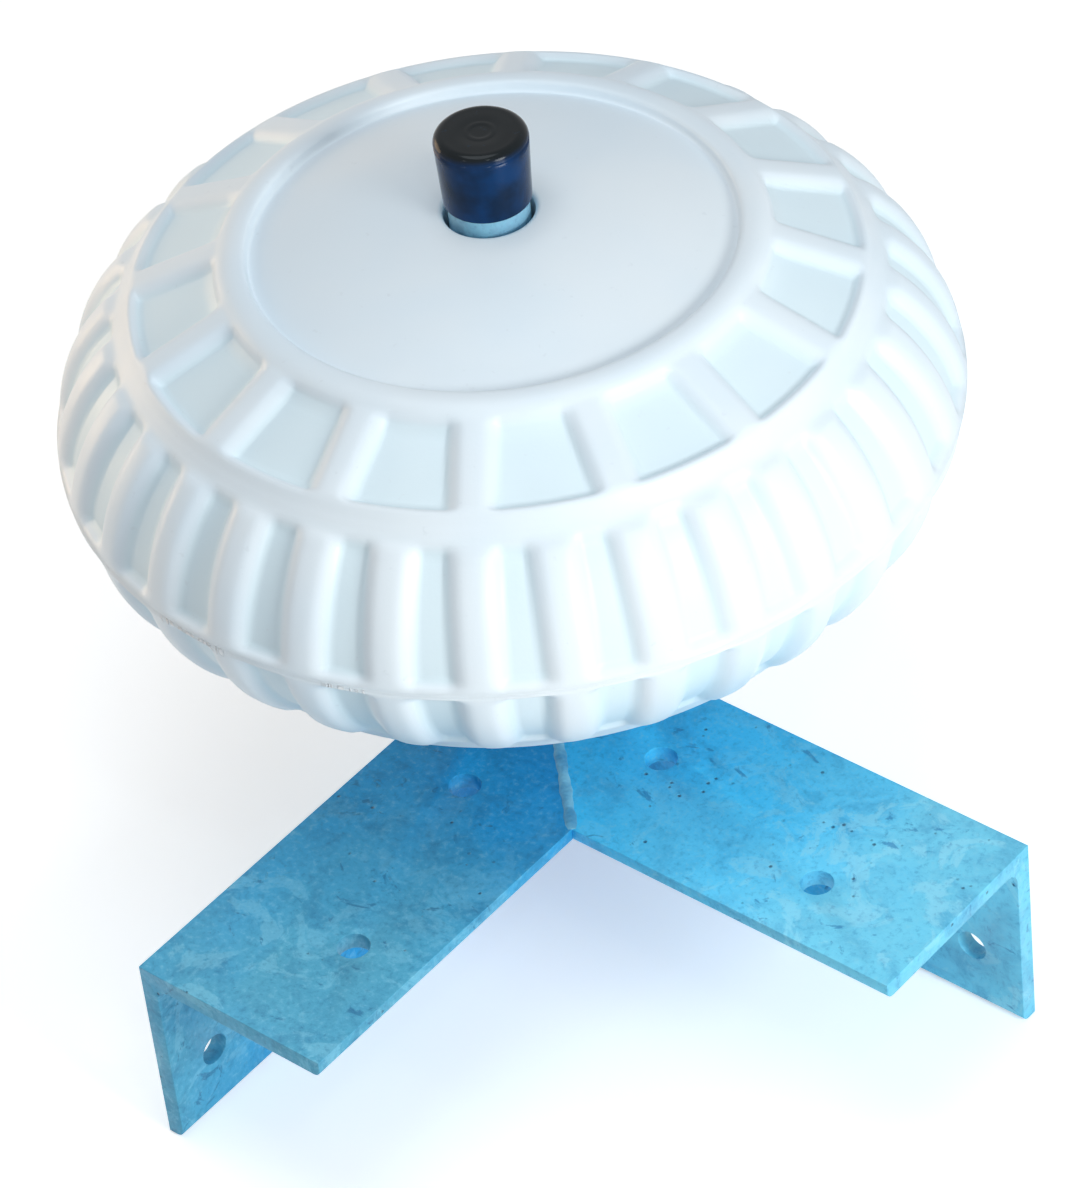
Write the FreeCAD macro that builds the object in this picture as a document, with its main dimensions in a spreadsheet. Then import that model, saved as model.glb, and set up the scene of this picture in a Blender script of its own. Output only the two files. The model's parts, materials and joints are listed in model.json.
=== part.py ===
import FreeCAD, Part
import Sketcher
import math
import os

# Corner dock wheel: two mitred steel angles make a corner bracket, a tube stands up
# outside the corner, and a moulded hollow wheel turns on the tube under a push-on cap.
# Millimetres. +Z is up, +X runs along the right-hand leg and -Y along the left-hand leg.
# The origin is at the middle of the footprint, on the surface the bracket stands on.

SIZES = {
    # Steel angle of the two legs
    "flange_width": 76.2,
    "flange_height": 76.2,
    "flange_thick": 6.35,
    "leg_length": 203.2,
    "root_radius": 6.0,
    "toe_radius": 3.0,
    # Bolt holes, measured from a leg's free end and from its outer face or top
    "hole_radius": 5.5,
    "top_hole_near_end": 46.0,
    "top_hole_near_in": 51.5,
    "top_hole_far_end": 123.5,
    "top_hole_far_in": 33.7,
    "side_hole_near_end": 20.0,
    "side_hole_far_end": 123.5,
    "side_hole_down": 51.5,
    # Weld beads
    "mitre_bead_width": 7.0,
    "mitre_bead_height": 1.1,
    "axle_bead_leg": 8.0,
    "axle_bead_end": 3.0,
    # Axle tube, its sleeve and washer
    "axle_radius": 13.35,
    "axle_wall": 2.9,
    "axle_stand": 9.0,
    "sleeve_wall": 3.3,
    "sleeve_play": 0.1,
    "washer_radius": 26.0,
    "washer_thick": 3.0,
    "washer_play": 0.4,
    # Wheel, with heights measured from its middle plane
    "wheel_radius": 151.3,
    "wheel_lift": 88.0,
    "wheel_turn": 13.1,
    "wheel_play": 0.3,
    "bore_radius": 15.0,
    "hub_half": 75.6,
    "hub_edge": 1.5,
    "disc_radius": 79.5,
    "disc_height": 62.3,
    "step_height": 4.0,
    "step_run": 1.5,
    "inner_ring_outside": 90.0,
    "inner_ring_height": 63.3,
    "outer_ring_inside": 119.0,
    "outer_ring_height": 50.2,
    "tread_curve": 67.6,
    "tread_drop": 8.2,
    "wall_thick": 4.0,
    "pocket_depth": 3.8,
    "pocket_draft": 1.4,
    "annulus_ribs": 16,
    "annulus_rib_width": 9.0,
    "tread_ribs": 32,
    "tread_rib_width": 11.8,
    "pocket_top_angle": 50.0,
    "pocket_low_angle": 9.8,
    # Push-on cap
    "cap_wall": 1.4,
    "cap_play": 0.05,
    "cap_length": 26.4,
    "cap_lift": 4.5,
    "cap_edge": 1.5,
}

# Sizes worked out from the driving ones, as expressions of the sheet
AXLE_OUT = "(Sizes.flange_width + Sizes.axle_stand)"
CAP_RADIUS = "(Sizes.axle_radius + Sizes.cap_play + Sizes.cap_wall)"
SLEEVE_INSIDE = "(Sizes.axle_radius + Sizes.sleeve_play)"
SLEEVE_RADIUS = "(Sizes.axle_radius + Sizes.sleeve_play + Sizes.sleeve_wall)"
WASHER_BOTTOM = "(Sizes.wheel_lift - Sizes.hub_half - Sizes.wheel_play - Sizes.washer_thick)"
CAP_BOTTOM = "(Sizes.wheel_lift + Sizes.hub_half + Sizes.cap_lift)"
AXLE_TOP = "(Sizes.wheel_lift + Sizes.hub_half + Sizes.cap_lift + Sizes.cap_length - Sizes.cap_wall)"
INNER_LEG = "(Sizes.leg_length - Sizes.flange_width)"
# Half the difference between the wheel's reach and the legs' reach puts the origin mid-footprint
SHIFT = "((%s + Sizes.wheel_radius - %s) / 2)" % (AXLE_OUT, INNER_LEG)
CUT_MARGIN = 2.0
FULL_TURN = 360.0
ORIGIN = FreeCAD.Vector(0, 0, 0)
ALONG = FreeCAD.Vector(0, 1, 0)
UPWARDS = FreeCAD.Vector(0, 0, 1)
CAP_EDGE_FLATS = 1
# The turn that lays a bead, made along -Y, over the mitre from the inner corner to the axle
MITRE_TURN = -135.0

doc = FreeCAD.newDocument("corner_dock_wheel")
sheet = doc.addObject("Spreadsheet::Sheet", "Sizes")
for row, (alias, number) in enumerate(SIZES.items(), start=1):
    cell = "B%d" % row
    sheet.set("A%d" % row, alias)
    sheet.set(cell, str(number))
    sheet.setAlias(cell, alias)
doc.recompute()


def value(expression):
    """The present number of an expression of the sheet."""
    return float(sheet.evalExpression(expression))


def new_body(name):
    body = doc.addObject("PartDesign::Body", name)
    body.Label = name
    return body


def new_sketch(body, name, role):
    """A sketch on one of the body's own origin planes."""
    sketch = body.newObject("Sketcher::SketchObject", name)
    plane = next(item for item in body.Origin.OriginFeatures if item.Role == role)
    sketch.AttachmentSupport = [(plane, "")]
    sketch.MapMode = "FlatFace"
    return sketch


def bind(sketch, kind, places, expression):
    """Adds a dimension to a sketch and ties it to an expression of the sheet."""
    index = sketch.addConstraint(Sketcher.Constraint(kind, *places, value(expression)))
    sketch.setExpression("Constraints[%d]" % index, expression)


def pin(sketch, geometry, end, across, up):
    """Fixes one point of a sketch at two expressions from the sketch's origin."""
    bind(sketch, "DistanceX", (-1, 1, geometry, end), across)
    bind(sketch, "DistanceY", (-1, 1, geometry, end), up)


def arc_between(start, stop, radius, side):
    """The short arc from start to stop, whose centre lies to the left (1) or right (-1)."""
    chord = stop - start
    reach = math.sqrt(max(radius ** 2 - (chord.Length / 2) ** 2, 0.0))
    sideways = FreeCAD.Vector(-chord.y, chord.x, 0).normalize()
    centre = (start + stop) / 2 + sideways * reach * side
    first = math.atan2(start.y - centre.y, start.x - centre.x)
    last = math.atan2(stop.y - centre.y, stop.x - centre.x)
    circle = Part.Circle(centre, FreeCAD.Vector(0, 0, 1), radius)
    return Part.ArcOfCircle(circle, first, last) if side > 0 else Part.ArcOfCircle(circle, last, first)


def outline(sketch, corners):
    """Draws a closed outline. A corner is (across, up), or (across, up, radius, side) for an arc onwards."""
    points = [FreeCAD.Vector(value(corner[0]), value(corner[1]), 0) for corner in corners]
    edges = []
    for number, corner in enumerate(corners):
        start = points[number]
        stop = points[(number + 1) % len(points)]
        if len(corner) == 2:
            edge = sketch.addGeometry(Part.LineSegment(start, stop), False)
            edges.append((edge, 1, 2))
            continue
        radius, side = corner[2], corner[3]
        edge = sketch.addGeometry(arc_between(start, stop, value(radius), side), False)
        bind(sketch, "Radius", (edge,), radius)
        edges.append((edge, 1, 2) if side > 0 else (edge, 2, 1))
    for number, corner in enumerate(corners):
        edge, begin, end = edges[number]
        after, next_begin, next_end = edges[(number + 1) % len(edges)]
        sketch.addConstraint(Sketcher.Constraint("Coincident", edge, end, after, next_begin))
        pin(sketch, edge, begin, corner[0], corner[1])


def circle(sketch, across, up, radius):
    """Draws a circle whose centre and radius are tied to the sheet."""
    centre = FreeCAD.Vector(value(across), value(up), 0)
    ring = Part.Circle(centre, FreeCAD.Vector(0, 0, 1), value(radius))
    edge = sketch.addGeometry(ring, False)
    pin(sketch, edge, 3, across, up)
    bind(sketch, "Radius", (edge,), radius)


def pad(body, name, sketch, length):
    feature = body.newObject("PartDesign::Pad", name)
    feature.Profile = sketch
    feature.setExpression("Length", length)
    return feature


def pocket(body, name, sketch, length):
    """Cuts both ways from the sketch's plane by half the length, and proves that it cut."""
    doc.recompute()
    before = body.Tip.Shape.Volume
    feature = body.newObject("PartDesign::Pocket", name)
    feature.Profile = sketch
    feature.Midplane = True
    feature.setExpression("Length", length)
    doc.recompute()
    if not feature.Shape.Volume < before:
        raise ValueError(name + " cuts nothing")
    return feature


def revolve(body, name, sketch):
    """Turns a sketch once round its own upright axis."""
    feature = body.newObject("PartDesign::Revolution", name)
    feature.Profile = sketch
    feature.ReferenceAxis = (sketch, ["V_Axis"])
    feature.Angle = FULL_TURN
    return feature


def loft(body, name, sections):
    """A straight-sided solid between two outlines."""
    doc.recompute()
    feature = body.newObject("PartDesign::AdditiveLoft", name)
    feature.Profile = sections[0]
    feature.Sections = [sections[1]]
    feature.Ruled = True
    return feature


def sector_block(body, name, near, far):
    """A flat-faced block of a sector, between two (distance from the axle, height) pairs along Y."""
    half_width = "tan(180deg / Sizes.tread_ribs)"
    block = body.newObject("PartDesign::AdditiveWedge", name)
    for end, (distance, height) in (("", near), ("2", far)):
        block.setExpression("X%smax" % end, "(%s) * %s" % (distance, half_width))
        block.setExpression("X%smin" % end, "-(%s) * %s" % (distance, half_width))
        block.setExpression("Z%smax" % end, height)
        block.setExpression("Z%smin" % end, "0")
    block.setExpression("Ymin", near[0])
    block.setExpression("Ymax", far[0])
    return block


def repeat_round(body, name, features, count):
    """Repeats features round the body's vertical axis."""
    pattern = body.newObject("PartDesign::PolarPattern", name)
    pattern.Originals = features
    upright = next(item for item in body.Origin.OriginFeatures if item.Role == "Z_Axis")
    pattern.Axis = (upright, [""])
    pattern.Angle = FULL_TURN
    pattern.setExpression("Occurrences", count)
    body.Tip = pattern
    return pattern


def mirror(name, source, normal):
    """A mirror image of a piece, in a plane through the frame's origin."""
    image = doc.addObject("Part::Mirroring", name)
    image.Label = name
    image.Source = source
    image.Base = FreeCAD.Vector(0, 0, 0)
    image.Normal = normal
    return image


def cut(name, base, tool):
    result = doc.addObject("Part::Cut", name)
    result.Label = name
    result.Base = base
    result.Tool = tool
    return result


def place(piece, across, along, up):
    """Puts a piece where three expressions say."""
    piece.setExpression("Placement.Base.x", across)
    piece.setExpression("Placement.Base.y", along)
    piece.setExpression("Placement.Base.z", up)


def place_at_corner(piece, up="0"):
    """Puts a piece at the bracket's outer corner, with heights from the legs' top."""
    height = "Sizes.flange_height + " + up
    place(piece, SHIFT + " - Sizes.flange_width", "Sizes.flange_width - " + SHIFT, height)


def place_at_axle(piece, up):
    """Puts a piece on the axle's line, with heights from the legs' top."""
    place(piece, SHIFT + " - " + AXLE_OUT, AXLE_OUT + " - " + SHIFT, "Sizes.flange_height + " + up)


# Each half of the tread is a round stretch about a point below the middle plane. This is how far out it lies
TREAD_CENTRE = "(Sizes.wheel_radius - sqrt(Sizes.tread_curve ^ 2 - Sizes.tread_drop ^ 2))"
TREAD_FLOOR = "(Sizes.tread_curve - Sizes.pocket_depth)"
SHELL_CURVE = "(Sizes.tread_curve - Sizes.pocket_depth - Sizes.wall_thick)"
TREAD_FLATS = 3
SHELL_FLATS = 2


def round_stretch(radius, first, last, flats, across=TREAD_CENTRE, up="-Sizes.tread_drop"):
    """Corners along a round stretch about a centre, from the first angle to the last, in equal flats."""
    corners = []
    for step in range(flats + 1):
        angle = "((%s) + ((%s) - (%s)) * %d / %d) * 1deg" % (first, last, first, step, flats)
        out = "%s + %s * cos(%s)" % (across, radius, angle)
        rise = "%s + %s * sin(%s)" % (up, radius, angle)
        corners.append((out, rise))
    return corners


def angle_section(sketch):
    """The steel angle across its length: sharp heel, rounded toes and a filleted root."""
    inside = "-Sizes.flange_thick"
    outline(sketch, [
        ("0", "0"),
        ("-Sizes.flange_width", "0"),
        ("-Sizes.flange_width", inside + " + Sizes.toe_radius", "Sizes.toe_radius", 1),
        ("-Sizes.flange_width + Sizes.toe_radius", inside),
        (inside + " - Sizes.root_radius", inside, "Sizes.root_radius", -1),
        (inside, inside + " - Sizes.root_radius"),
        (inside, "-Sizes.flange_height + Sizes.toe_radius", "Sizes.toe_radius", 1),
        (inside + " + Sizes.toe_radius", "-Sizes.flange_height"),
        ("0", "-Sizes.flange_height"),
    ])


def make_right_angle():
    """The right-hand leg, from its outer corner along +X, mitred, drilled and coped for the axle."""
    body = new_body("right_angle")
    section = new_sketch(body, "angle_section", "YZ_Plane")
    angle_section(section)
    pad(body, "angle_length", section, "Sizes.leg_length")
    mitre = new_sketch(body, "mitre_outline", "XY_Plane")
    beyond = "(Sizes.flange_width + %g)" % CUT_MARGIN
    outline(mitre, [("0", "0"), ("-%g" % CUT_MARGIN, "%g" % CUT_MARGIN), ("-%g" % CUT_MARGIN, "-" + beyond),
                    (beyond, "-" + beyond)])
    pocket(body, "mitre", mitre, "(Sizes.flange_height + %g) * 2" % CUT_MARGIN)
    top_holes = new_sketch(body, "top_holes", "XY_Plane")
    for which in ("near", "far"):
        circle(top_holes, "Sizes.leg_length - Sizes.top_hole_%s_end" % which,
               "-Sizes.top_hole_%s_in" % which, "Sizes.hole_radius")
    pocket(body, "top_hole_cut", top_holes, "(Sizes.flange_thick + %g) * 2" % CUT_MARGIN)
    side_holes = new_sketch(body, "side_holes", "XZ_Plane")
    for which in ("near", "far"):
        circle(side_holes, "Sizes.leg_length - Sizes.side_hole_%s_end" % which,
               "-Sizes.side_hole_down", "Sizes.hole_radius")
    pocket(body, "side_hole_cut", side_holes, "(Sizes.flange_thick + %g) * 2" % CUT_MARGIN)
    cope = new_sketch(body, "cope_circle", "XY_Plane")
    circle(cope, "-Sizes.axle_stand", "Sizes.axle_stand", "Sizes.axle_radius")
    pocket(body, "cope", cope, "(Sizes.flange_height + %g) * 2" % CUT_MARGIN)
    place_at_corner(body)
    return body


def make_axle_weld():
    """The bead that fills the wedge between the right-hand leg's outer face and the axle."""
    body = new_body("right_axle_weld")
    wedge = new_sketch(body, "bead_outline", "XY_Plane")
    foot = "sqrt(Sizes.axle_radius ^ 2 - Sizes.axle_stand ^ 2) - Sizes.axle_stand + Sizes.axle_bead_leg"
    outline(wedge, [("0", "0"), (foot, "0"), ("Sizes.axle_radius - Sizes.axle_stand", "Sizes.axle_stand"),
                    ("-Sizes.axle_stand", "Sizes.axle_stand")])
    pad(body, "bead_length", wedge, "Sizes.flange_height - 2 * Sizes.axle_bead_end")
    doc.recompute()
    hollow = new_sketch(body, "axle_circle", "XY_Plane")
    circle(hollow, "-Sizes.axle_stand", "Sizes.axle_stand", "Sizes.axle_radius")
    pocket(body, "axle_side", hollow, "Sizes.flange_height * 2")
    place_at_corner(body, "Sizes.axle_bead_end - Sizes.flange_height")
    return body


def make_mitre_weld():
    """The low rounded bead on top of the mitre, from the inner corner to the sleeve."""
    body = new_body("mitre_weld")
    section = new_sketch(body, "bead_section", "XZ_Plane")
    half = "Sizes.mitre_bead_width / 2"
    crown = "((%s) ^ 2 + Sizes.mitre_bead_height ^ 2) / (2 * Sizes.mitre_bead_height)" % half
    outline(section, [("-" + half, "0"), (half, "0", crown, 1)])
    length = AXLE_OUT + " * sqrt(2) - " + SLEEVE_RADIUS + " - Sizes.wheel_play"
    pad(body, "bead_length", section, length)
    place(body, SHIFT, "-" + SHIFT, "Sizes.flange_height")
    return body


def make_tube(name, inside, outside, bottom, length):
    """A plain ring or tube on the axle's line."""
    body = new_body(name)
    ring = new_sketch(body, name + "_ring", "XY_Plane")
    circle(ring, "0", "0", outside)
    circle(ring, "0", "0", inside)
    pad(body, name + "_length", ring, length)
    place_at_axle(body, bottom)
    return body


def make_cap():
    """The push-on cap: a thin cup with a rounded top edge."""
    body = new_body("axle_cap")
    profile = new_sketch(body, "cap_profile", "XZ_Plane")
    inside = "Sizes.axle_radius + Sizes.cap_play"
    edge = round_stretch("Sizes.cap_edge", "0", "90", CAP_EDGE_FLATS,
                         CAP_RADIUS + " - Sizes.cap_edge", "Sizes.cap_length - Sizes.cap_edge")
    outline(profile, [
        (inside, "0"),
        (CAP_RADIUS, "0"),
    ] + edge + [
        ("0", "Sizes.cap_length"),
        ("0", "Sizes.cap_length - Sizes.cap_wall"),
        (inside, "Sizes.cap_length - Sizes.cap_wall"),
    ])
    revolve(body, "cap_turn", profile)
    place_at_axle(body, CAP_BOTTOM)
    return body


def make_wheel_blank():
    """Half of the wheel, above its middle plane, solid and with no pockets yet."""
    body = new_body("wheel_blank")
    profile = new_sketch(body, "wheel_profile", "XZ_Plane")
    ring_top = "Sizes.disc_height + Sizes.step_height"
    top, low = "Sizes.pocket_top_angle", "Sizes.pocket_low_angle"
    tread = round_stretch("Sizes.tread_curve", top, low, TREAD_FLATS)
    outline(profile, [
        ("Sizes.bore_radius", "0"),
        ("Sizes.bore_radius", "Sizes.hub_half - Sizes.hub_edge"),
        ("Sizes.bore_radius + Sizes.hub_edge", "Sizes.hub_half"),
        ("Sizes.disc_radius", "Sizes.disc_height"),
        ("Sizes.disc_radius + Sizes.step_run", ring_top),
        ("Sizes.inner_ring_outside - Sizes.step_run * 2", ring_top),
        ("Sizes.inner_ring_outside", "Sizes.inner_ring_height"),
        ("Sizes.outer_ring_inside", "Sizes.outer_ring_height"),
    ] + tread + [
        (tread[-1][0], "0"),
    ])
    revolve(body, "wheel_turn", profile)
    return body


def make_hollow():
    """The hollow inside half of the wheel: one flat-faced sector under each rib, side by side."""
    body = new_body("hollow")
    shell = round_stretch(SHELL_CURVE, "Sizes.pocket_top_angle", "Sizes.pocket_low_angle", SHELL_FLATS)
    stations = [
        ("Sizes.bore_radius + Sizes.wall_thick", "Sizes.hub_half - Sizes.wall_thick"),
        ("Sizes.disc_radius", "Sizes.disc_height - Sizes.wall_thick"),
    ] + shell
    blocks = []
    for number in range(len(stations) - 1):
        name = "hollow_block_%d" % (number + 1)
        blocks.append(sector_block(body, name, stations[number], stations[number + 1]))
        doc.recompute()
    repeat_round(body, "hollow_ring", blocks, "Sizes.tread_ribs")
    return body


def cone_height(radius):
    """Height of the annulus's sloping crest at a distance from the wheel's axis."""
    fall = "(Sizes.inner_ring_height - Sizes.outer_ring_height)"
    run = "(Sizes.outer_ring_inside - Sizes.inner_ring_outside)"
    return "(Sizes.inner_ring_height - (%s - Sizes.inner_ring_outside) * %s / %s)" % (radius, fall, run)


def make_annulus_cutter():
    """The sloping pockets between the two rings: a ring-shaped zone with the ribs taken out."""
    inner = "Sizes.inner_ring_outside"
    outer = "Sizes.outer_ring_inside"
    margin = " + %g" % CUT_MARGIN
    flare = "Sizes.pocket_draft * %g / Sizes.pocket_depth" % CUT_MARGIN
    low_inner = inner + " + Sizes.pocket_draft"
    low_outer = outer + " - Sizes.pocket_draft"
    high_inner = inner + " - " + flare
    high_outer = outer + " + " + flare
    zone = new_body("annulus_zone")
    profile = new_sketch(zone, "annulus_profile", "XZ_Plane")
    outline(profile, [
        (low_inner, cone_height(low_inner) + " - Sizes.pocket_depth"),
        (low_outer, cone_height(low_outer) + " - Sizes.pocket_depth"),
        (high_outer, cone_height(high_outer) + margin),
        (high_inner, cone_height(high_inner) + margin),
    ])
    revolve(zone, "annulus_turn", profile)
    spokes = new_body("annulus_ribs")
    sections = []
    for name, radius in (("inner_section", inner + " - %g" % CUT_MARGIN), ("outer_section", outer + margin)):
        section = new_sketch(spokes, name, "YZ_Plane")
        section.setExpression("AttachmentOffset.Base.z", radius)
        foot = cone_height("(" + radius + ")") + " - Sizes.pocket_depth * 2"
        head = cone_height("(" + radius + ")") + " + Sizes.pocket_depth"
        wide = "Sizes.annulus_rib_width / 2 + Sizes.pocket_draft * 2"
        narrow = "Sizes.annulus_rib_width / 2 - Sizes.pocket_draft"
        outline(section, [("-(%s)" % wide, foot), (wide, foot), (narrow, head), ("-(%s)" % narrow, head)])
        sections.append(section)
    spoke = loft(spokes, "spoke", sections)
    repeat_round(spokes, "spoke_ring", [spoke], "Sizes.annulus_ribs")
    return cut("annulus_cutter", zone, spokes)


def make_tread_cutter():
    """The pockets round the bulging tread, spread evenly with an upright rib left between each two."""
    body = new_body("tread_cutter")
    beyond = "(Sizes.tread_curve + %g)" % CUT_MARGIN
    low, top = "Sizes.pocket_low_angle", "Sizes.pocket_top_angle"
    draft = "Sizes.pocket_draft / Sizes.tread_curve * 180 / pi"
    floor = round_stretch(TREAD_FLOOR, "%s - %s" % (top, draft), "%s + %s" % (low, draft), TREAD_FLATS)
    corners = floor + round_stretch(beyond, low, top, TREAD_FLATS)
    half_angle = "(180 / Sizes.tread_ribs - Sizes.tread_rib_width / Sizes.wheel_radius * 90 / pi)"
    sides = []
    for name, sign in (("left_side", "-"), ("right_side", "+")):
        side = new_sketch(body, name, "XZ_Plane")
        side.AttachmentOffset = FreeCAD.Placement(ORIGIN, FreeCAD.Rotation(ALONG, 1.0))
        turn = "180 / Sizes.tread_ribs %s %s" % (sign, half_angle)
        side.setExpression("AttachmentOffset.Rotation.Angle", turn)
        outline(side, corners)
        sides.append(side)
    pit = loft(body, "tread_pocket", sides)
    repeat_round(body, "tread_pockets", [pit], "Sizes.tread_ribs")
    return body


def make_wheel():
    """The one-piece hollow wheel: its pocketed upper half joined to its mirror image."""
    blank = make_wheel_blank()
    upper = cut("half_with_hollow", blank, make_hollow())
    upper = cut("half_with_annulus", upper, make_annulus_cutter())
    upper = cut("upper_half", upper, make_tread_cutter())
    lower = mirror("lower_half", upper, UPWARDS)
    wheel = doc.addObject("Part::MultiFuse", "wheel")
    wheel.Label = "wheel"
    wheel.Shapes = [upper, lower]
    wheel.Refine = True
    wheel.Placement.Rotation = FreeCAD.Rotation(UPWARDS, 1.0)
    wheel.setExpression("Placement.Rotation.Angle", "Sizes.wheel_turn")
    place_at_axle(wheel, "Sizes.wheel_lift")
    return wheel


def check(items):
    """Stops if any object failed to recompute or any piece has no sound shape."""
    for item in doc.Objects:
        if "Invalid" in item.State or "Error" in item.State:
            raise ValueError("%s did not recompute: %s" % (item.Label, item.State))
    for item in items:
        if item.Shape.isNull() or not item.Shape.isValid():
            raise ValueError(item.Label + " has no sound shape")


right_angle = make_right_angle()
mitre_plane = FreeCAD.Vector(1, 1, 0)
right_weld = make_axle_weld()
mitre_weld = make_mitre_weld()
mitre_weld.Placement.Rotation = FreeCAD.Rotation(UPWARDS, MITRE_TURN)
pieces = [
    right_angle,
    mirror("left_angle", right_angle, mitre_plane),
    right_weld,
    mirror("left_axle_weld", right_weld, mitre_plane),
    mitre_weld,
    make_tube("axle_tube", "Sizes.axle_radius - Sizes.axle_wall", "Sizes.axle_radius",
              "-Sizes.flange_height", "Sizes.flange_height + " + AXLE_TOP),
    make_tube("spacer_sleeve", SLEEVE_INSIDE, SLEEVE_RADIUS, "0", WASHER_BOTTOM),
    make_tube("washer", "Sizes.axle_radius + Sizes.washer_play", "Sizes.washer_radius",
              WASHER_BOTTOM, "Sizes.washer_thick"),
    make_wheel(),
    make_cap(),
]
doc.recompute()
check(pieces)
os.makedirs("parts", exist_ok=True)
for piece in pieces:
    piece.Shape.exportStep(os.path.join("parts", piece.Label + ".step"))
    print(piece.Label, len(piece.Shape.Solids), round(piece.Shape.Volume, 1), piece.Shape.BoundBox)
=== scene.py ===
import bmesh
import bpy
import json
import numpy as np
from math import radians
from mathutils import Euler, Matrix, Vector

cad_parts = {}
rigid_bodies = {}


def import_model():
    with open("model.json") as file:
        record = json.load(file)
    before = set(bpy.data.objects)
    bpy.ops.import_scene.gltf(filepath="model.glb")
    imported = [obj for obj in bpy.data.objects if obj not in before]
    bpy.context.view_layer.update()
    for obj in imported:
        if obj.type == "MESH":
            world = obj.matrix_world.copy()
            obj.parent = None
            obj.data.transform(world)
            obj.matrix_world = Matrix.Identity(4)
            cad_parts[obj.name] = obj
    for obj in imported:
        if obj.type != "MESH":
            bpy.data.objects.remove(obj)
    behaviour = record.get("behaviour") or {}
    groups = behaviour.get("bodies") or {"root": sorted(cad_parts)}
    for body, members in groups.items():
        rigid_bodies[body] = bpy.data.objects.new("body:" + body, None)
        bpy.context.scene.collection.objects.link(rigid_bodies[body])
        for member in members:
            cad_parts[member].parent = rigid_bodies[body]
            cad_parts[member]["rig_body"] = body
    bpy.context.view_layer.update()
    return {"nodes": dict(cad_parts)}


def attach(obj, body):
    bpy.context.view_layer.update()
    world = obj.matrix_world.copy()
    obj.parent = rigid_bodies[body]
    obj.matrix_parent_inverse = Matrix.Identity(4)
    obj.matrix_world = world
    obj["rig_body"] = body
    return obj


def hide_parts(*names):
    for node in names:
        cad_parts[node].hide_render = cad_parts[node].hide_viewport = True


# A corner dock wheel: a moulded white wheel with a pocketed tread, a dipped black cap on its
# axle, and a hot-dip galvanised corner bracket. Shapes are in millimetres until a mesh is made;
# materials, lamps and the camera are in metres.

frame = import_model()

# Where the wheel's axle stands, the height of the wheel's middle plane, and its turn in degrees
AXLE = (-30.45, 30.45)
MIDDLE = 164.2
WHEEL_TURN = 13.1

# The tread's arc: how far out and how far below the middle plane its centre lies, and its radius
TREAD_OUT, TREAD_BELOW, TREAD_ROUND = 84.2, 8.2, 67.2
# Where the tread's shoulder starts, and how far it lies below the ribs' crests
TREAD_START, SHOULDER_DROP = 119.9, 1.5
# How many ribs each ring of pockets has, and how deep its pockets are
TREAD_RIBS, TREAD_DEPTH = 32, 3.9
ANNULUS_RIBS, ANNULUS_DEPTH = 16, 3.5
# How many columns the wheel and the cap have round the axle
WHEEL_COLUMNS, CAP_COLUMNS = 640, 96


def ease(low, high, x):
    """Nought before low, one after high, and a smooth S between them: t * t * (3 - 2 t)."""
    t = np.clip((x - low) / (high - low), 0.0, 1.0)
    return t * t * (3.0 - 2.0 * t)


def arc(across, up, radius, first, last, count):
    """Points on a circle about (across, up), evenly spaced between two angles in degrees."""
    turn = np.radians(np.linspace(first, last, count))
    return np.column_stack([across + radius * np.cos(turn), up + radius * np.sin(turn)])


def line(start, stop, count):
    """Evenly spaced points on a straight line, both ends included."""
    return np.linspace(start, stop, count)


def around(count):
    """One row of evenly spaced angles round a full turn, in radians."""
    return 2 * np.pi * np.arange(count)[None, :] / count


def add_object(name, data):
    """A new object in the scene, at the origin, that shows the data given."""
    thing = bpy.data.objects.new(name, data)
    bpy.context.scene.collection.objects.link(thing)
    return thing


def mesh_piece(name, points, faces, body, ends=()):
    """A smooth mesh in metres from points in millimetres, riding on a body.

    The ends, if any, are faces of many sides that close the grid.
    """
    mesh = bpy.data.meshes.new(name)
    corners = faces.tolist() + [end.tolist() for end in ends]
    mesh.from_pydata((np.asarray(points) / 1000.0).tolist(), [], corners)
    mesh.update()
    mesh.shade_smooth()
    piece = add_object(name, mesh)
    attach(piece, body)
    return piece


def grid_faces(rows, columns, closed_rows=False):
    """Quads between neighbouring rows and columns of a grid whose points are stored row by row.

    The last column always joins the first; the last row joins the first where that is asked for.
    """
    row = np.arange(rows if closed_rows else rows - 1)[:, None]
    column = np.arange(columns)[None, :]
    after = (row + 1) % rows
    beside = (column + 1) % columns
    corners = [row * columns + column, row * columns + beside,
               after * columns + beside, after * columns + column]
    return np.stack(np.broadcast_arrays(*corners), axis=-1).reshape(-1, 4)


def store(piece, name, values):
    """Keeps one number for each point of a piece, for its material to read."""
    layer = piece.data.attributes.new(name, "FLOAT", "POINT")
    layer.data.foreach_set("value", np.asarray(values, np.float32).ravel())


# The wheel


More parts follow.
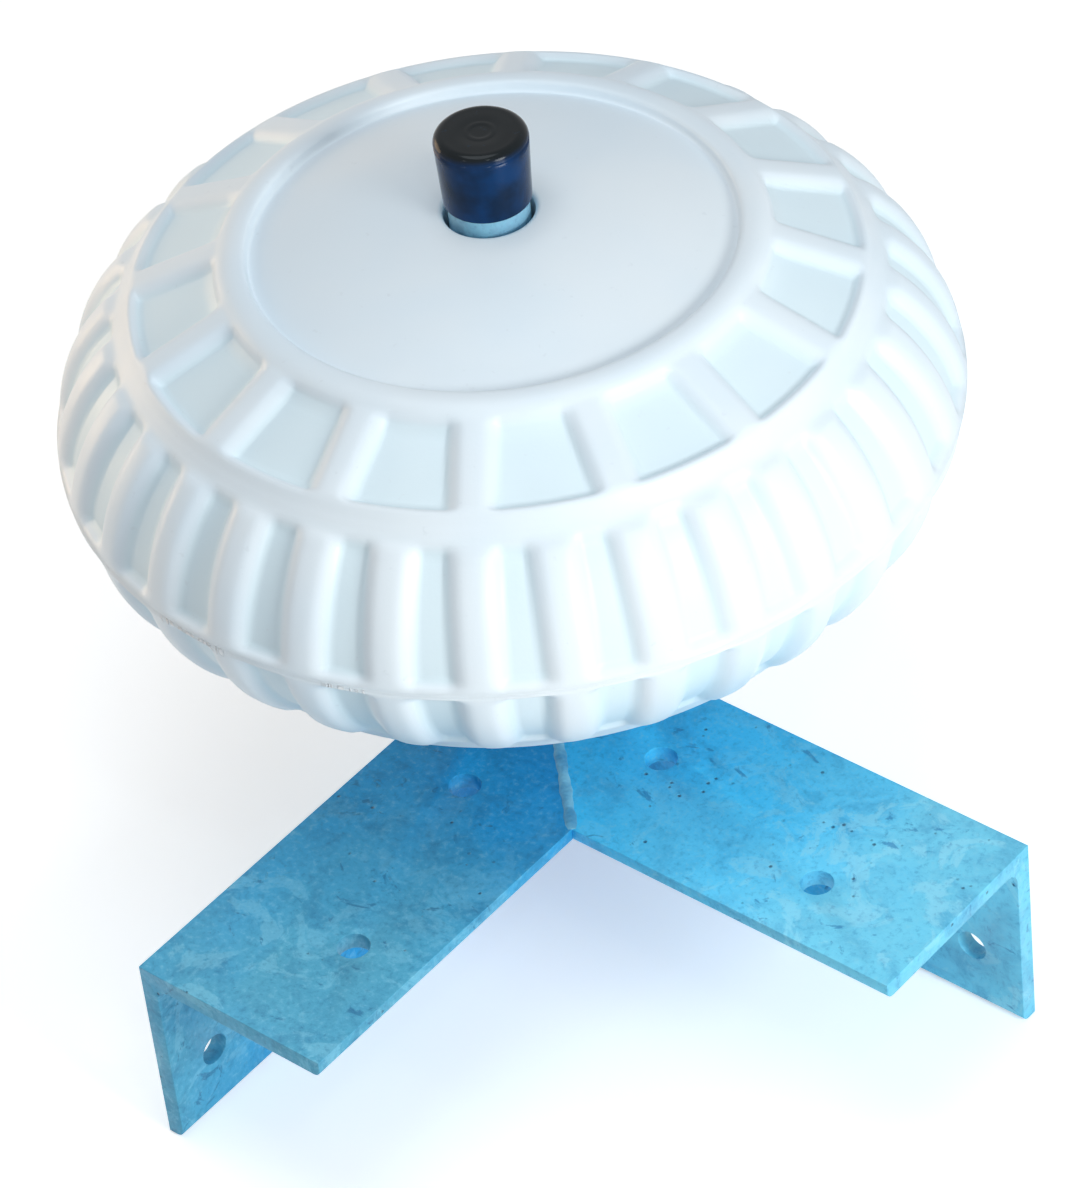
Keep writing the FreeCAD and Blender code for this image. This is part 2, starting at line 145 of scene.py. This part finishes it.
def wheel_profile():
    """The wheel's upper half, from the bore out to the parting line, as radius and height rows.

    It runs up the bore, over the hub, down the gently domed disc, up a small step onto the inner
    ring, down the sloping annulus, and round the tread on one arc whose centre lies below the
    middle plane. The disc's dome adds 4 * rise * t * (1 - t) to a straight slope, where t runs
    from the hub to the disc's edge. Each row also has how far into the annulus's pockets it is,
    how low the tread's shoulder lies there, how far into the tread's pockets it is, and how far
    above the parting band.
    """
    bore = line((15.0, 0.0), (15.0, 73.9), 3)
    hub = arc(16.6, 74.0, 1.6, 180.0, 95.0, 4)
    dome_run = np.linspace(0.0, 1.0, 7)[:, None]
    dome = (1 - dome_run) * np.array([[17.2, 75.6]]) + dome_run * np.array([[78.6, 62.9]])
    dome_rise = 2.0
    dome[:, 1] += dome_rise * 4.0 * (dome_run * (1 - dome_run))[:, 0]
    step = np.array([(79.3, 62.75), (79.8, 63.1), (80.15, 63.9),
                     (80.4, 64.9), (80.75, 65.7), (81.4, 66.15)])
    ring = np.array([(82.6, 66.3), (84.6, 66.2), (86.6, 65.75), (88.2, 65.0), (89.8, 63.9)])
    annulus = np.concatenate([line((90.6, 63.3), (93.0, 62.25), 4), line((97.0, 60.5), (116.4, 52.1), 5)])
    shoulder = np.array([(118.1, 51.3), (119.0, 50.9), (119.8, 50.3), (120.5, 49.6), (121.3, 48.6)])
    tread = arc(TREAD_OUT, -TREAD_BELOW, TREAD_ROUND, 55.4, 8.0, 36)
    band = np.array([(150.66, 0.9), (150.58, 0.6), (150.56, 0.3)])
    rows = np.concatenate([bore, hub, dome, step, ring, annulus, shoulder, tread, band])
    radius, height = rows[:, 0], rows[:, 1]
    above_tread = height > 45.0
    in_annulus = ease(89.6, 94.0, radius) * (1.0 - ease(118.5, 120.4, radius)) * above_tread
    angle = np.degrees(np.arctan2(height + TREAD_BELOW, radius - TREAD_OUT))
    beyond = radius > TREAD_START
    shoulder_dip = SHOULDER_DROP * (1.0 - ease(50.5, 57.5, angle)) * beyond
    in_tread = (1.0 - ease(46.2, 50.4, angle)) * beyond
    above_band = ease(8.2, 10.9, angle)
    return rows, in_annulus, shoulder_dip * above_band, in_tread, above_band


def make_wheel():
    """The wheel as one closed skin: its profile turned round the axle and pressed in at each pocket.

    A point is sunk along the profile's inward normal by depth * (how far into the pocket along
    the profile) * (how far down the nearest rib's flank). With t the distance from a rib's crest
    over its half width, the flank goes down by 1 - (1 - t to the power 2.2) to the power 0.62,
    mixed 72 to 28 with a smooth S, so that a rounded bulge ends softly in the pocket's flat floor.
    Above the ribs' round ends the tread's shoulder lies lower than their crests. The lower half is
    the upper one mirrored, and a thin flash stands out between the two.
    """
    rows, *upper = wheel_profile()
    flash = np.array([[150.8, 0.0]])
    rows = np.concatenate([rows, flash, rows[:0:-1] * (1, -1)])
    in_annulus, dip, in_tread, above_band = (
        np.concatenate([part, [0.0], part[:0:-1]])[:, None] for part in upper)
    along = np.roll(rows, -1, axis=0) - np.roll(rows, 1, axis=0)
    along /= np.linalg.norm(along, axis=1, keepdims=True)
    inward = np.column_stack([along[:, 1], -along[:, 0]])
    turn = around(WHEEL_COLUMNS)
    radius = rows[:, :1]

    def from_rib(count, flat, foot):
        """One on a pocket's floor and nought on a rib's crest, by the distance round the wheel."""
        pitch = 2 * np.pi / count
        away = np.abs((turn + pitch / 2) % pitch - pitch / 2) * radius
        share = np.clip((away - flat) / (foot - flat), 0.0, 1.0)
        bulge = 1.0 - (1.0 - share ** 2.2) ** 0.62
        return bulge * 0.72 + ease(0.35, 1.0, share) * 0.28

    tread = dip * (1.0 - in_tread) + TREAD_DEPTH * above_band * in_tread * from_rib(TREAD_RIBS, 0.4, 9.0)
    sunk = ANNULUS_DEPTH * in_annulus * from_rib(ANNULUS_RIBS, 0.6, 8.2) + tread
    reach = radius + inward[:, :1] * sunk
    height = rows[:, 1:] + inward[:, 1:] * sunk
    where = turn + radians(WHEEL_TURN)
    points = np.stack([AXLE[0] + reach * np.cos(where), AXLE[1] + reach * np.sin(where),
                       MIDDLE + height + 0 * where], axis=-1)
    faces = grid_faces(len(rows), WHEEL_COLUMNS, closed_rows=True)[:, ::-1]
    wheel = mesh_piece("moulded_wheel", points.reshape(-1, 3), faces, "roller")
    # the pockets' depth, which the plastic's material reads for its painted shade in the pockets
    store(wheel, "sunk", sunk / TREAD_DEPTH)
    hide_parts("wheel")
    return wheel


# The cap, turned on the axle's line


def make_cap():
    """The dipped cap: a profile turned round the axle, closed at its crown, with a rolled lower lip.

    The wall swells towards the top, and the crown's edge is a round. The crown sinks a little
    towards its middle by a smooth S, and a faint ring stands on it: rise * e to the power of
    minus ((radius - ring's radius) / ring's width) squared.
    """
    low, high = 244.35, 270.68
    low_radius, high_radius, edge_round = 14.5, 15.5, 3.2
    wall = line((low_radius, low + 0.6), (high_radius, high - edge_round), 12)
    edge = arc(12.3, high - edge_round, edge_round, 0.0, 90.0, 9)
    crown_radius = np.linspace(11.8, 0.5, 16)
    crown_sink, ring_rise, ring_radius, ring_width = 0.28, 0.22, 4.2, 0.5
    crown = np.column_stack([crown_radius, high - crown_sink * ease(9.0, 3.0, crown_radius)
                             + ring_rise * np.exp(-((crown_radius - ring_radius) / ring_width) ** 2) - 0.02])
    inside = np.array([(0.6, high - 1.5), (13.4, high - 1.5), (13.4, low + 0.2)])
    lip = np.array([(13.7, low), (14.25, low), (14.48, low + 0.25)])
    rows = np.concatenate([inside, lip, wall, edge, crown])
    turn = around(CAP_COLUMNS)
    radius, height = rows[:, :1], rows[:, 1:]
    points = np.stack([AXLE[0] + radius * np.cos(turn), AXLE[1] + radius * np.sin(turn),
                       height + 0 * turn], axis=-1)
    ring = np.arange(CAP_COLUMNS)
    ends = (ring[::-1], (len(rows) - 1) * CAP_COLUMNS + ring)
    faces = grid_faces(len(rows), CAP_COLUMNS)
    cap = mesh_piece("dipped_cap", points.reshape(-1, 3), faces, "bracket", ends)
    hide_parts("axle_cap")
    return cap


# Weld beads


def make_bead(name, start, stop, half_width, height, across, up, ripple):
    """A weld bead: a low rounded section carried along a line, its height rippled like laid drops.

    Across the bead the height follows a cosine to the power 0.8. Along it, it is multiplied by
    0.8 + 0.2 * |sin|, in scallops that lean one way, and it dies away over the last few
    millimetres at both ends. The width wanders by two slow sines. The flat foot is sunk in.
    """
    start, stop = np.array(start, float), np.array(stop, float)
    length = np.linalg.norm(stop - start)
    spacing, end_fade, foot_depth = 0.4, 3.0, 0.4
    run = np.linspace(0.0, 1.0, int(length / spacing))[:, None]
    top = np.linspace(-1.0, 1.0, 17)
    side = np.concatenate([top, top[-2:0:-4]])[None, :]
    is_top = np.arange(side.size)[None, :] < top.size
    lean = run * length / ripple + 0.35 * side ** 2
    scallop = 0.80 + 0.20 * np.abs(np.sin(np.pi * lean))
    fade = ease(0.0, end_fade / length, run) * ease(0.0, end_fade / length, 1 - run)
    wander = 1.0 + 0.10 * np.sin(run * length * 0.41) + 0.06 * np.sin(run * length * 1.07 + 1.0)
    crown = height * np.cos(side * np.pi / 2).clip(0) ** 0.8 * scallop * (0.25 + 0.75 * fade)
    lift = np.where(is_top, crown - 0.05, -foot_depth)
    wide = half_width * side * wander * (0.7 + 0.3 * fade)
    across, up = np.array(across, float), np.array(up, float)
    points = (start + (stop - start) * run[..., None]) + across * wide[..., None] + up * lift[..., None]
    section = np.arange(side.size)
    ends = (section[::-1], (run.size - 1) * side.size + section)
    faces = grid_faces(run.size, side.size)
    if np.dot(np.cross(across, up), stop - start) > 0:
        faces, ends = faces[:, ::-1], tuple(end[::-1] for end in ends)
    return mesh_piece(name, points.reshape(-1, 3), faces, "bracket", ends)


# Steel, softened at its edges


def soften(node, name, width):
    """A copy of a steel piece with its faces merged and its edges rounded by a narrow bevel."""
    source = frame["nodes"][node]
    mesh = source.data.copy()
    mesh.name = name
    work = bmesh.new()
    work.from_mesh(mesh)
    bmesh.ops.remove_doubles(work, verts=work.verts, dist=1e-6)
    bmesh.ops.dissolve_limit(work, angle_limit=radians(0.5), verts=work.verts, edges=work.edges)
    work.to_mesh(mesh)
    work.free()
    mesh.materials.clear()
    mesh.shade_smooth()
    piece = add_object(name, mesh)
    bevel = piece.modifiers.new("rounded edges", "BEVEL")
    bevel.width = width / 1000.0
    bevel.segments = 2
    bevel.limit_method = "ANGLE"
    bevel.angle_limit = radians(40.0)
    bevel.harden_normals = True
    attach(piece, source["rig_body"])
    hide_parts(node)
    return piece


# Materials


def paint(red, green, blue):
    """A display colour, each channel out of 255, on the shader's linear scale."""
    picked = np.array([red, green, blue]) / 255.0
    linear = np.where(picked <= 0.04045, picked / 12.92, ((picked + 0.055) / 1.055) ** 2.4)
    return (*linear.tolist(), 1.0)


class Finish:
    """A material and the few helpers that wire its nodes together."""

    def __init__(self, name, colour, roughness, metallic=0.0, specular=0.5):
        self.material = bpy.data.materials.new(name)
        self.material.use_nodes = True
        self.nodes = self.material.node_tree.nodes
        self.link = self.material.node_tree.links.new
        self.shader = self.nodes["Principled BSDF"]
        for socket, setting in (("Base Color", colour), ("Roughness", roughness),
                                ("Metallic", metallic), ("Specular IOR Level", specular)):
            self.shader.inputs[socket].default_value = setting
        self.place = self.nodes.new("ShaderNodeTexCoord").outputs["Object"]

    def stretched(self, x, y, z):
        """The piece's own coordinates, with each axis scaled."""
        mapping = self.nodes.new("ShaderNodeMapping")
        mapping.inputs["Scale"].default_value = (x, y, z)
        self.link(self.place, mapping.inputs["Vector"])
        return mapping.outputs["Vector"]

    def noise(self, scale, detail=3.0, rough=0.5, distortion=0.0, at=None):
        """Cloudy noise from nought to one, with so many cells to a metre."""
        node = self.nodes.new("ShaderNodeTexNoise")
        node.inputs["Scale"].default_value = scale
        node.inputs["Detail"].default_value = detail
        node.inputs["Roughness"].default_value = rough
        node.inputs["Distortion"].default_value = distortion
        self.link(at or self.place, node.inputs["Vector"])
        return node.outputs["Fac"]

    def cells(self, scale):
        """How far a point lies from the nearest of many scattered ones, in cells."""
        node = self.nodes.new("ShaderNodeTexVoronoi")
        node.inputs["Scale"].default_value = scale
        self.link(self.place, node.inputs["Vector"])
        return node.outputs["Distance"]

    def ramp(self, value, low, high, bottom=0.0, top=1.0):
        """A number moved smoothly from one range to another."""
        node = self.nodes.new("ShaderNodeMapRange")
        node.interpolation_type = "SMOOTHSTEP"
        for socket, setting in (("From Min", low), ("From Max", high), ("To Min", bottom), ("To Max", top)):
            node.inputs[socket].default_value = setting
        self.link(value, node.inputs["Value"])
        return node.outputs["Result"]

    def blend(self, share, first, second):
        """Two colours mixed by a share; each may be a colour or another node's output."""
        node = self.nodes.new("ShaderNodeMix")
        node.data_type = "RGBA"
        for socket, value in ((node.inputs[0], share), (node.inputs[6], first), (node.inputs[7], second)):
            if isinstance(value, (tuple, float)):
                socket.default_value = value
            else:
                self.link(value, socket)
        return node.outputs[2]

    def sums(self, operation, first, second=0.0):
        """One step of arithmetic on two numbers; each may be a number or another node's output."""
        node = self.nodes.new("ShaderNodeMath")
        node.operation = operation
        for socket, value in zip(node.inputs, (first, second)):
            if isinstance(value, (int, float)):
                socket.default_value = value
            else:
                self.link(value, socket)
        return node.outputs[0]

    def distance(self):
        """How far a point lies from the middle of the footprint, in metres."""
        node = self.nodes.new("ShaderNodeVectorMath")
        node.operation = "LENGTH"
        self.link(self.place, node.inputs[0])
        return node.outputs["Value"]

    def near(self, point, reach):
        """One at a point, falling to nought at a reach in metres from it."""
        node = self.nodes.new("ShaderNodeVectorMath")
        node.operation = "DISTANCE"
        node.inputs[1].default_value = point
        self.link(self.place, node.inputs[0])
        return self.ramp(node.outputs["Value"], reach, reach * 0.7)

    def upward(self):
        """A point's height in metres."""
        node = self.nodes.new("ShaderNodeSeparateXYZ")
        self.link(self.place, node.inputs[0])
        return node.outputs["Z"]

    def stored(self, name):
        """A number kept for each point of the piece."""
        node = self.nodes.new("ShaderNodeAttribute")
        node.attribute_name = name
        return node.outputs["Fac"]

    def bump(self, height, distance, strength=1.0, under=None):
        """Relief from a height, on top of earlier relief where that is given."""
        node = self.nodes.new("ShaderNodeBump")
        node.inputs["Strength"].default_value = strength
        node.inputs["Distance"].default_value = distance
        self.link(height, node.inputs["Height"])
        if under is not None:
            self.link(under, node.inputs["Normal"])
        return node.outputs["Normal"]

    def use(self, colour, roughness, normal):
        """Wires the three results to the shader and gives the finished material."""
        for socket, output in (("Base Color", colour), ("Roughness", roughness), ("Normal", normal)):
            self.link(output, self.shader.inputs[socket])
        return self.material


def white_plastic():
    """Moulded white plastic with painted bluish shade in its pockets, faintly cloudy, with a satin grain and
    flash nicks.
    """
    finish = Finish("white moulded plastic", paint(236, 244, 248), 0.42)
    cloud = finish.ramp(finish.noise(9.0, 3.0, 0.55), 0.35, 0.68)
    base = finish.blend(cloud, paint(234, 241, 245), paint(225, 237, 245))
    # painted shade: the pockets are tinted bluish by their depth, where shade falls in them
    pocket_shade = finish.ramp(finish.stored("sunk"), 0.25, 1.0, 0.0, 0.6)
    base = finish.blend(pocket_shade, base, paint(219, 239, 245))
    specks = finish.ramp(finish.noise(260.0, 2.0, 0.6), 0.68, 0.78, 0.0, 0.25)
    base = finish.blend(specks, base, paint(208, 216, 222))
    flash_height = 0.1628
    from_flash = finish.sums("ABSOLUTE", finish.sums("SUBTRACT", finish.upward(), flash_height))
    nicked = finish.ramp(finish.noise(1.0, 1.0, 0.5, 0.0, finish.stretched(620.0, 620.0, 8.0)), 0.52, 0.60)
    nicked = finish.sums("MULTIPLY", nicked, finish.ramp(from_flash, 0.0019, 0.0010))
    places = finish.sums("MAXIMUM", finish.near((-0.0405, -0.1202, 0.163), 0.019),
                         finish.near((0.0219, -0.1112, 0.163), 0.012))
    nicked = finish.sums("MULTIPLY", nicked, places)
    base = finish.blend(finish.sums("MULTIPLY", nicked, 0.8), base, paint(252, 253, 254))
    grain = finish.bump(finish.noise(700.0, 2.0, 0.6), 0.00006, 0.5)
    flow = finish.bump(finish.noise(38.0, 2.0, 0.5), 0.0006, 0.35, grain)
    nicks = finish.bump(nicked, 0.0007, 1.0, flow)
    rough = finish.ramp(finish.noise(24.0, 3.0, 0.6), 0.3, 0.7, 0.36, 0.5)
    return finish.use(base, rough, nicks)


def galvanised_steel(name, near, far, dark, blooms):
    """Hot-dip zinc on steel: mottled blue-grey that pales outwards, with blooms, blotches and pits.

    The colour goes from near to far with the distance from the footprint's middle, and near is painted
    brighter to make up for the wheel's shade there; the blotches are dark, and blooms is the most that a
    pale bloom covers.
    """
    finish = Finish(name, near, 0.45, metallic=0.1, specular=0.35)
    # painted light: the middle, under the wheel's shade, takes the brightened near colour
    outwards = finish.ramp(finish.distance(), 0.085, 0.195)
    drift = finish.ramp(finish.noise(11.0, 3.0, 0.55, 0.4), 0.35, 0.65, -0.25, 0.25)
    base = finish.blend(finish.sums("ADD", outwards, drift), near, far)
    cloud = finish.ramp(finish.noise(75.0, 5.0, 0.65, 0.6), 0.42, 0.74, 0.0, 0.40)
    base = finish.blend(cloud, base, dark)
    bloom = finish.ramp(finish.noise(48.0, 6.0, 0.68, 1.0), 0.53, 0.60)
    allowed = finish.ramp(finish.distance(), 0.08, 0.19, 0.1 * blooms, blooms)
    base = finish.blend(finish.sums("MULTIPLY", bloom, allowed), base, paint(146, 216, 236))
    blotch = finish.noise(64.0, 5.0, 0.62, 1.4, finish.stretched(1.0, 1.3, 1.2))
    blotch = finish.ramp(blotch, 0.61, 0.68, 0.0, 0.7)
    base = finish.blend(blotch, base, dark)
    sparse = finish.ramp(finish.noise(46.0, 2.0), 0.50, 0.60)
    pitted = finish.sums("MULTIPLY", finish.ramp(finish.cells(170.0), 0.14, 0.05), sparse)
    base = finish.blend(finish.sums("MULTIPLY", pitted, 0.85), base, paint(22, 72, 104))
    grain = finish.noise(380.0, 4.0, 0.7)
    base = finish.blend(finish.ramp(grain, 0.50, 0.72, 0.0, 0.35), base, paint(138, 206, 228))
    base = finish.blend(finish.ramp(grain, 0.50, 0.30, 0.0, 0.35), base, dark)
    relief = finish.bump(finish.noise(70.0, 5.0, 0.65), 0.0010, 0.5)
    relief = finish.bump(grain, 0.00020, 0.6, relief)
    relief = finish.bump(finish.sums("SUBTRACT", 1.0, pitted), 0.0006, 0.9, relief)
    rough = finish.ramp(finish.noise(34.0, 4.0), 0.3, 0.7, 0.36, 0.60)
    return finish.use(base, rough, relief)


def weld_metal():
    """Zinc-coated weld metal: a shade greyer than the sheet round it, with fine drips."""
    finish = Finish("galvanised weld", paint(120, 178, 205), 0.42, metallic=0.1, specular=0.4)
    tone = finish.ramp(finish.noise(90.0, 4.0, 0.6), 0.35, 0.68)
    base = finish.blend(tone, paint(84, 158, 196), paint(140, 204, 226))
    relief = finish.bump(finish.noise(300.0, 3.0, 0.6), 0.0003, 0.6)
    rough = finish.ramp(finish.noise(120.0, 3.0), 0.3, 0.7, 0.32, 0.55)
    return finish.use(base, rough, relief)


def black_vinyl():
    """Dipped vinyl: near black with a blue cast, glossy, faintly wavy where it ran; its crown is painted
    darker as painted shade.
    """
    finish = Finish("dipped black vinyl", paint(8, 30, 50), 0.16, specular=0.16)
    tone = finish.ramp(finish.noise(60.0, 3.0, 0.5), 0.35, 0.7)
    base = finish.blend(tone, paint(0, 30, 58), paint(0, 52, 100))
    # painted shade: the crown is painted darker than the sides, against the grey that the white surroundings
    # give it in gloss
    painted_dark_crown = finish.ramp(finish.upward(), 0.2675, 0.2698)
    base = finish.blend(painted_dark_crown, base, paint(14, 22, 26))
    scuff = finish.noise(210.0, 4.0, 0.65, 0.0, finish.stretched(1.0, 1.0, 0.25))
    base = finish.blend(finish.ramp(scuff, 0.64, 0.76, 0.0, 0.35), base, paint(24, 66, 96))
    relief = finish.bump(finish.noise(45.0, 2.0, 0.5, 0.0, finish.stretched(1.0, 1.0, 0.5)), 0.0007, 0.5)
    rough = finish.ramp(finish.noise(150.0, 3.0), 0.35, 0.75, 0.10, 0.24)
    return finish.use(base, rough, relief)


def dress(piece, material):
    """Gives every material slot of a piece one material."""
    if not piece.data.materials:
        piece.data.materials.append(material)
    for slot in piece.material_slots:
        slot.material = material


# Studio


def any_ray(tree, *rays):
    """One for light that follows any of the named kinds of ray, nought for the rest."""
    path = tree.nodes.new("ShaderNodeLightPath")
    found = path.outputs[rays[0]]
    for ray in rays[1:]:
        either = tree.nodes.new("ShaderNodeMath")
        either.operation = "MAXIMUM"
        tree.links.new(found, either.inputs[0])
        tree.links.new(path.outputs[ray], either.inputs[1])
        found = either.outputs[0]
    return found


def backdrop():
    """A pale floor that keeps the object's shadow and shows white to the camera, gloss and glass."""
    span, below, glow = 6.0, 0.0005, 0.45
    mesh = bpy.data.meshes.new("floor")
    corners = [(-span, -span, 0), (span, -span, 0), (span, span, 0), (-span, span, 0)]
    mesh.from_pydata(corners, [], [(0, 1, 2, 3)])
    floor = add_object("floor", mesh)
    floor.location = (0, 0, -below)
    material = bpy.data.materials.new("pale floor")
    material.use_nodes = True
    tree = material.node_tree
    shader = tree.nodes["Principled BSDF"]
    shader.inputs["Base Color"].default_value = (0.86, 0.87, 0.88, 1.0)
    shader.inputs["Roughness"].default_value = 0.9
    shader.inputs["Emission Color"].default_value = (1, 1, 1, 1)
    strength = tree.nodes.new("ShaderNodeMath")
    strength.operation = "MULTIPLY"
    strength.inputs[1].default_value = glow
    seen = any_ray(tree, "Is Camera Ray", "Is Glossy Ray", "Is Transmission Ray")
    tree.links.new(seen, strength.inputs[0])
    tree.links.new(strength.outputs[0], shader.inputs["Emission Strength"])
    floor.data.materials.append(material)


def surroundings():
    """An even world: a soft cool grey as light, and plain white to the camera and in gloss."""
    world = bpy.data.worlds.new("studio")
    bpy.context.scene.world = world
    world.use_nodes = True
    tree = world.node_tree
    mix = tree.nodes.new("ShaderNodeMix")
    mix.data_type = "RGBA"
    share, light, white = mix.inputs[0], mix.inputs[6], mix.inputs[7]
    light.default_value = (0.28, 0.295, 0.315, 1.0)
    white.default_value = (1.0, 1.0, 1.0, 1.0)
    tree.links.new(any_ray(tree, "Is Camera Ray", "Is Glossy Ray"), share)
    background = tree.nodes["Background"]
    tree.links.new(mix.outputs[2], background.inputs["Color"])
    background.inputs["Strength"].default_value = 1.0


def lamp(name, place, aim, size, power, colour):
    """A round lamp at a place, turned towards what it is aimed at; sizes in metres, power in watts."""
    light = bpy.data.lights.new(name, "AREA")
    light.shape = "DISK"
    light.size = size
    light.energy = power
    light.color = colour
    holder = add_object(name, light)
    holder.location = place
    holder.rotation_euler = (Vector(aim) - Vector(place)).to_track_quat("-Z", "Y").to_euler()


def camera():
    """The photograph's view: from above the open side of the corner, with a long lens."""
    lens = bpy.data.cameras.new("camera")
    lens.sensor_fit = "HORIZONTAL"
    lens.sensor_width = 36.0
    lens.lens = 186.3
    lens.clip_end = 50.0
    holder = add_object("camera", lens)
    holder.location = (0.96026, -1.01176, 1.33198)
    holder.rotation_euler = Euler((radians(48.605), radians(5.035), radians(39.04)), "XYZ")
    bpy.context.scene.camera = holder


dress(make_wheel(), white_plastic())
dress(make_cap(), black_vinyl())

# painted light and shade: one zinc in two copies, the right leg's painted brighter as lit and the left leg's
# darker as in shade
lit_right_zinc = galvanised_steel("zinc on the right leg, painted lit", paint(66, 200, 250), paint(112, 204, 232),
                              paint(40, 124, 176), 0.6)
shaded_left_zinc = galvanised_steel("zinc on the left leg, painted in shade", paint(36, 158, 216), paint(84, 168, 198),
                             paint(36, 104, 146), 0.3)
bare_steel = galvanised_steel("zinc on the axle", paint(118, 176, 210), paint(150, 200, 224),
                              paint(64, 120, 160), 0.3)
weld = weld_metal()
leg_edge = 0.5
dress(soften("right_angle", "right_leg", leg_edge), lit_right_zinc)
dress(soften("left_angle", "left_leg", leg_edge), shaded_left_zinc)
for node in ("axle_tube", "spacer_sleeve", "washer"):
    dress(frame["nodes"][node], bare_steel)
for node in ("right_axle_weld", "left_axle_weld"):
    dress(frame["nodes"][node], weld)

# The mitre's bead runs on top of the legs, from the inner corner back to the axle
inner, outer, top = 54.75, -17.5, 76.2
diagonal = np.array([1.0, 1.0, 0.0]) / np.sqrt(2.0)
mitre_bead = make_bead("mitre_bead", (inner, -inner, top), (outer, -outer, top), 2.0, 0.8,
                       diagonal, (0, 0, 1), 2.0)
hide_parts("mitre_weld")
dress(mitre_bead, weld)

# The axle's two beads stand upright, one on each leg; the left one is the right one mirrored
chord, outwards = np.array([-0.50, 0.866, 0.0]), np.array([0.866, 0.50, 0.0])
foot, head = np.array([-14.9, 25.4, 3.6]), np.array([-14.9, 25.4, 72.6])
same, swap = np.eye(3), np.array([[0, -1, 0], [-1, 0, 0], [0, 0, 1]], float)
for name, side in (("right_axle_bead", same), ("left_axle_bead", swap)):
    dress(make_bead(name, side @ foot, side @ head, 4.3, 1.5, side @ chord, side @ outwards, 3.0), weld)

backdrop()
surroundings()
lamp("key", (1.19, -0.14, 0.66), (0.0, 0.0, 0.14), 0.5, 8.8, (0.97, 1.0, 1.0))
lamp("low right", (1.22, -0.18, 0.06), (0.0, 0.0, 0.06), 0.5, 2.8, (0.94, 0.99, 1.0))
lamp("warm fill", (-1.35, -0.22, 0.32), (0.0, 0.0, 0.14), 0.8, 6.2, (1.0, 0.70, 0.42))
lamp("cool top", (-0.1, -0.1, 1.9), (0.0, 0.0, 0.1), 1.2, 10.0, (0.86, 0.94, 1.0))
lamp("sparkle", (0.85, -0.53, 1.45), (-0.03, 0.03, 0.26), 0.10, 0.8, (0.9, 1.0, 1.0))
lamp("left sparkle", (-0.15, -1.35, 1.30), (-0.03, 0.03, 0.26), 0.06, 0.4, (1.0, 1.0, 1.0))
camera()

bpy.context.scene.view_settings.view_transform = "Standard"
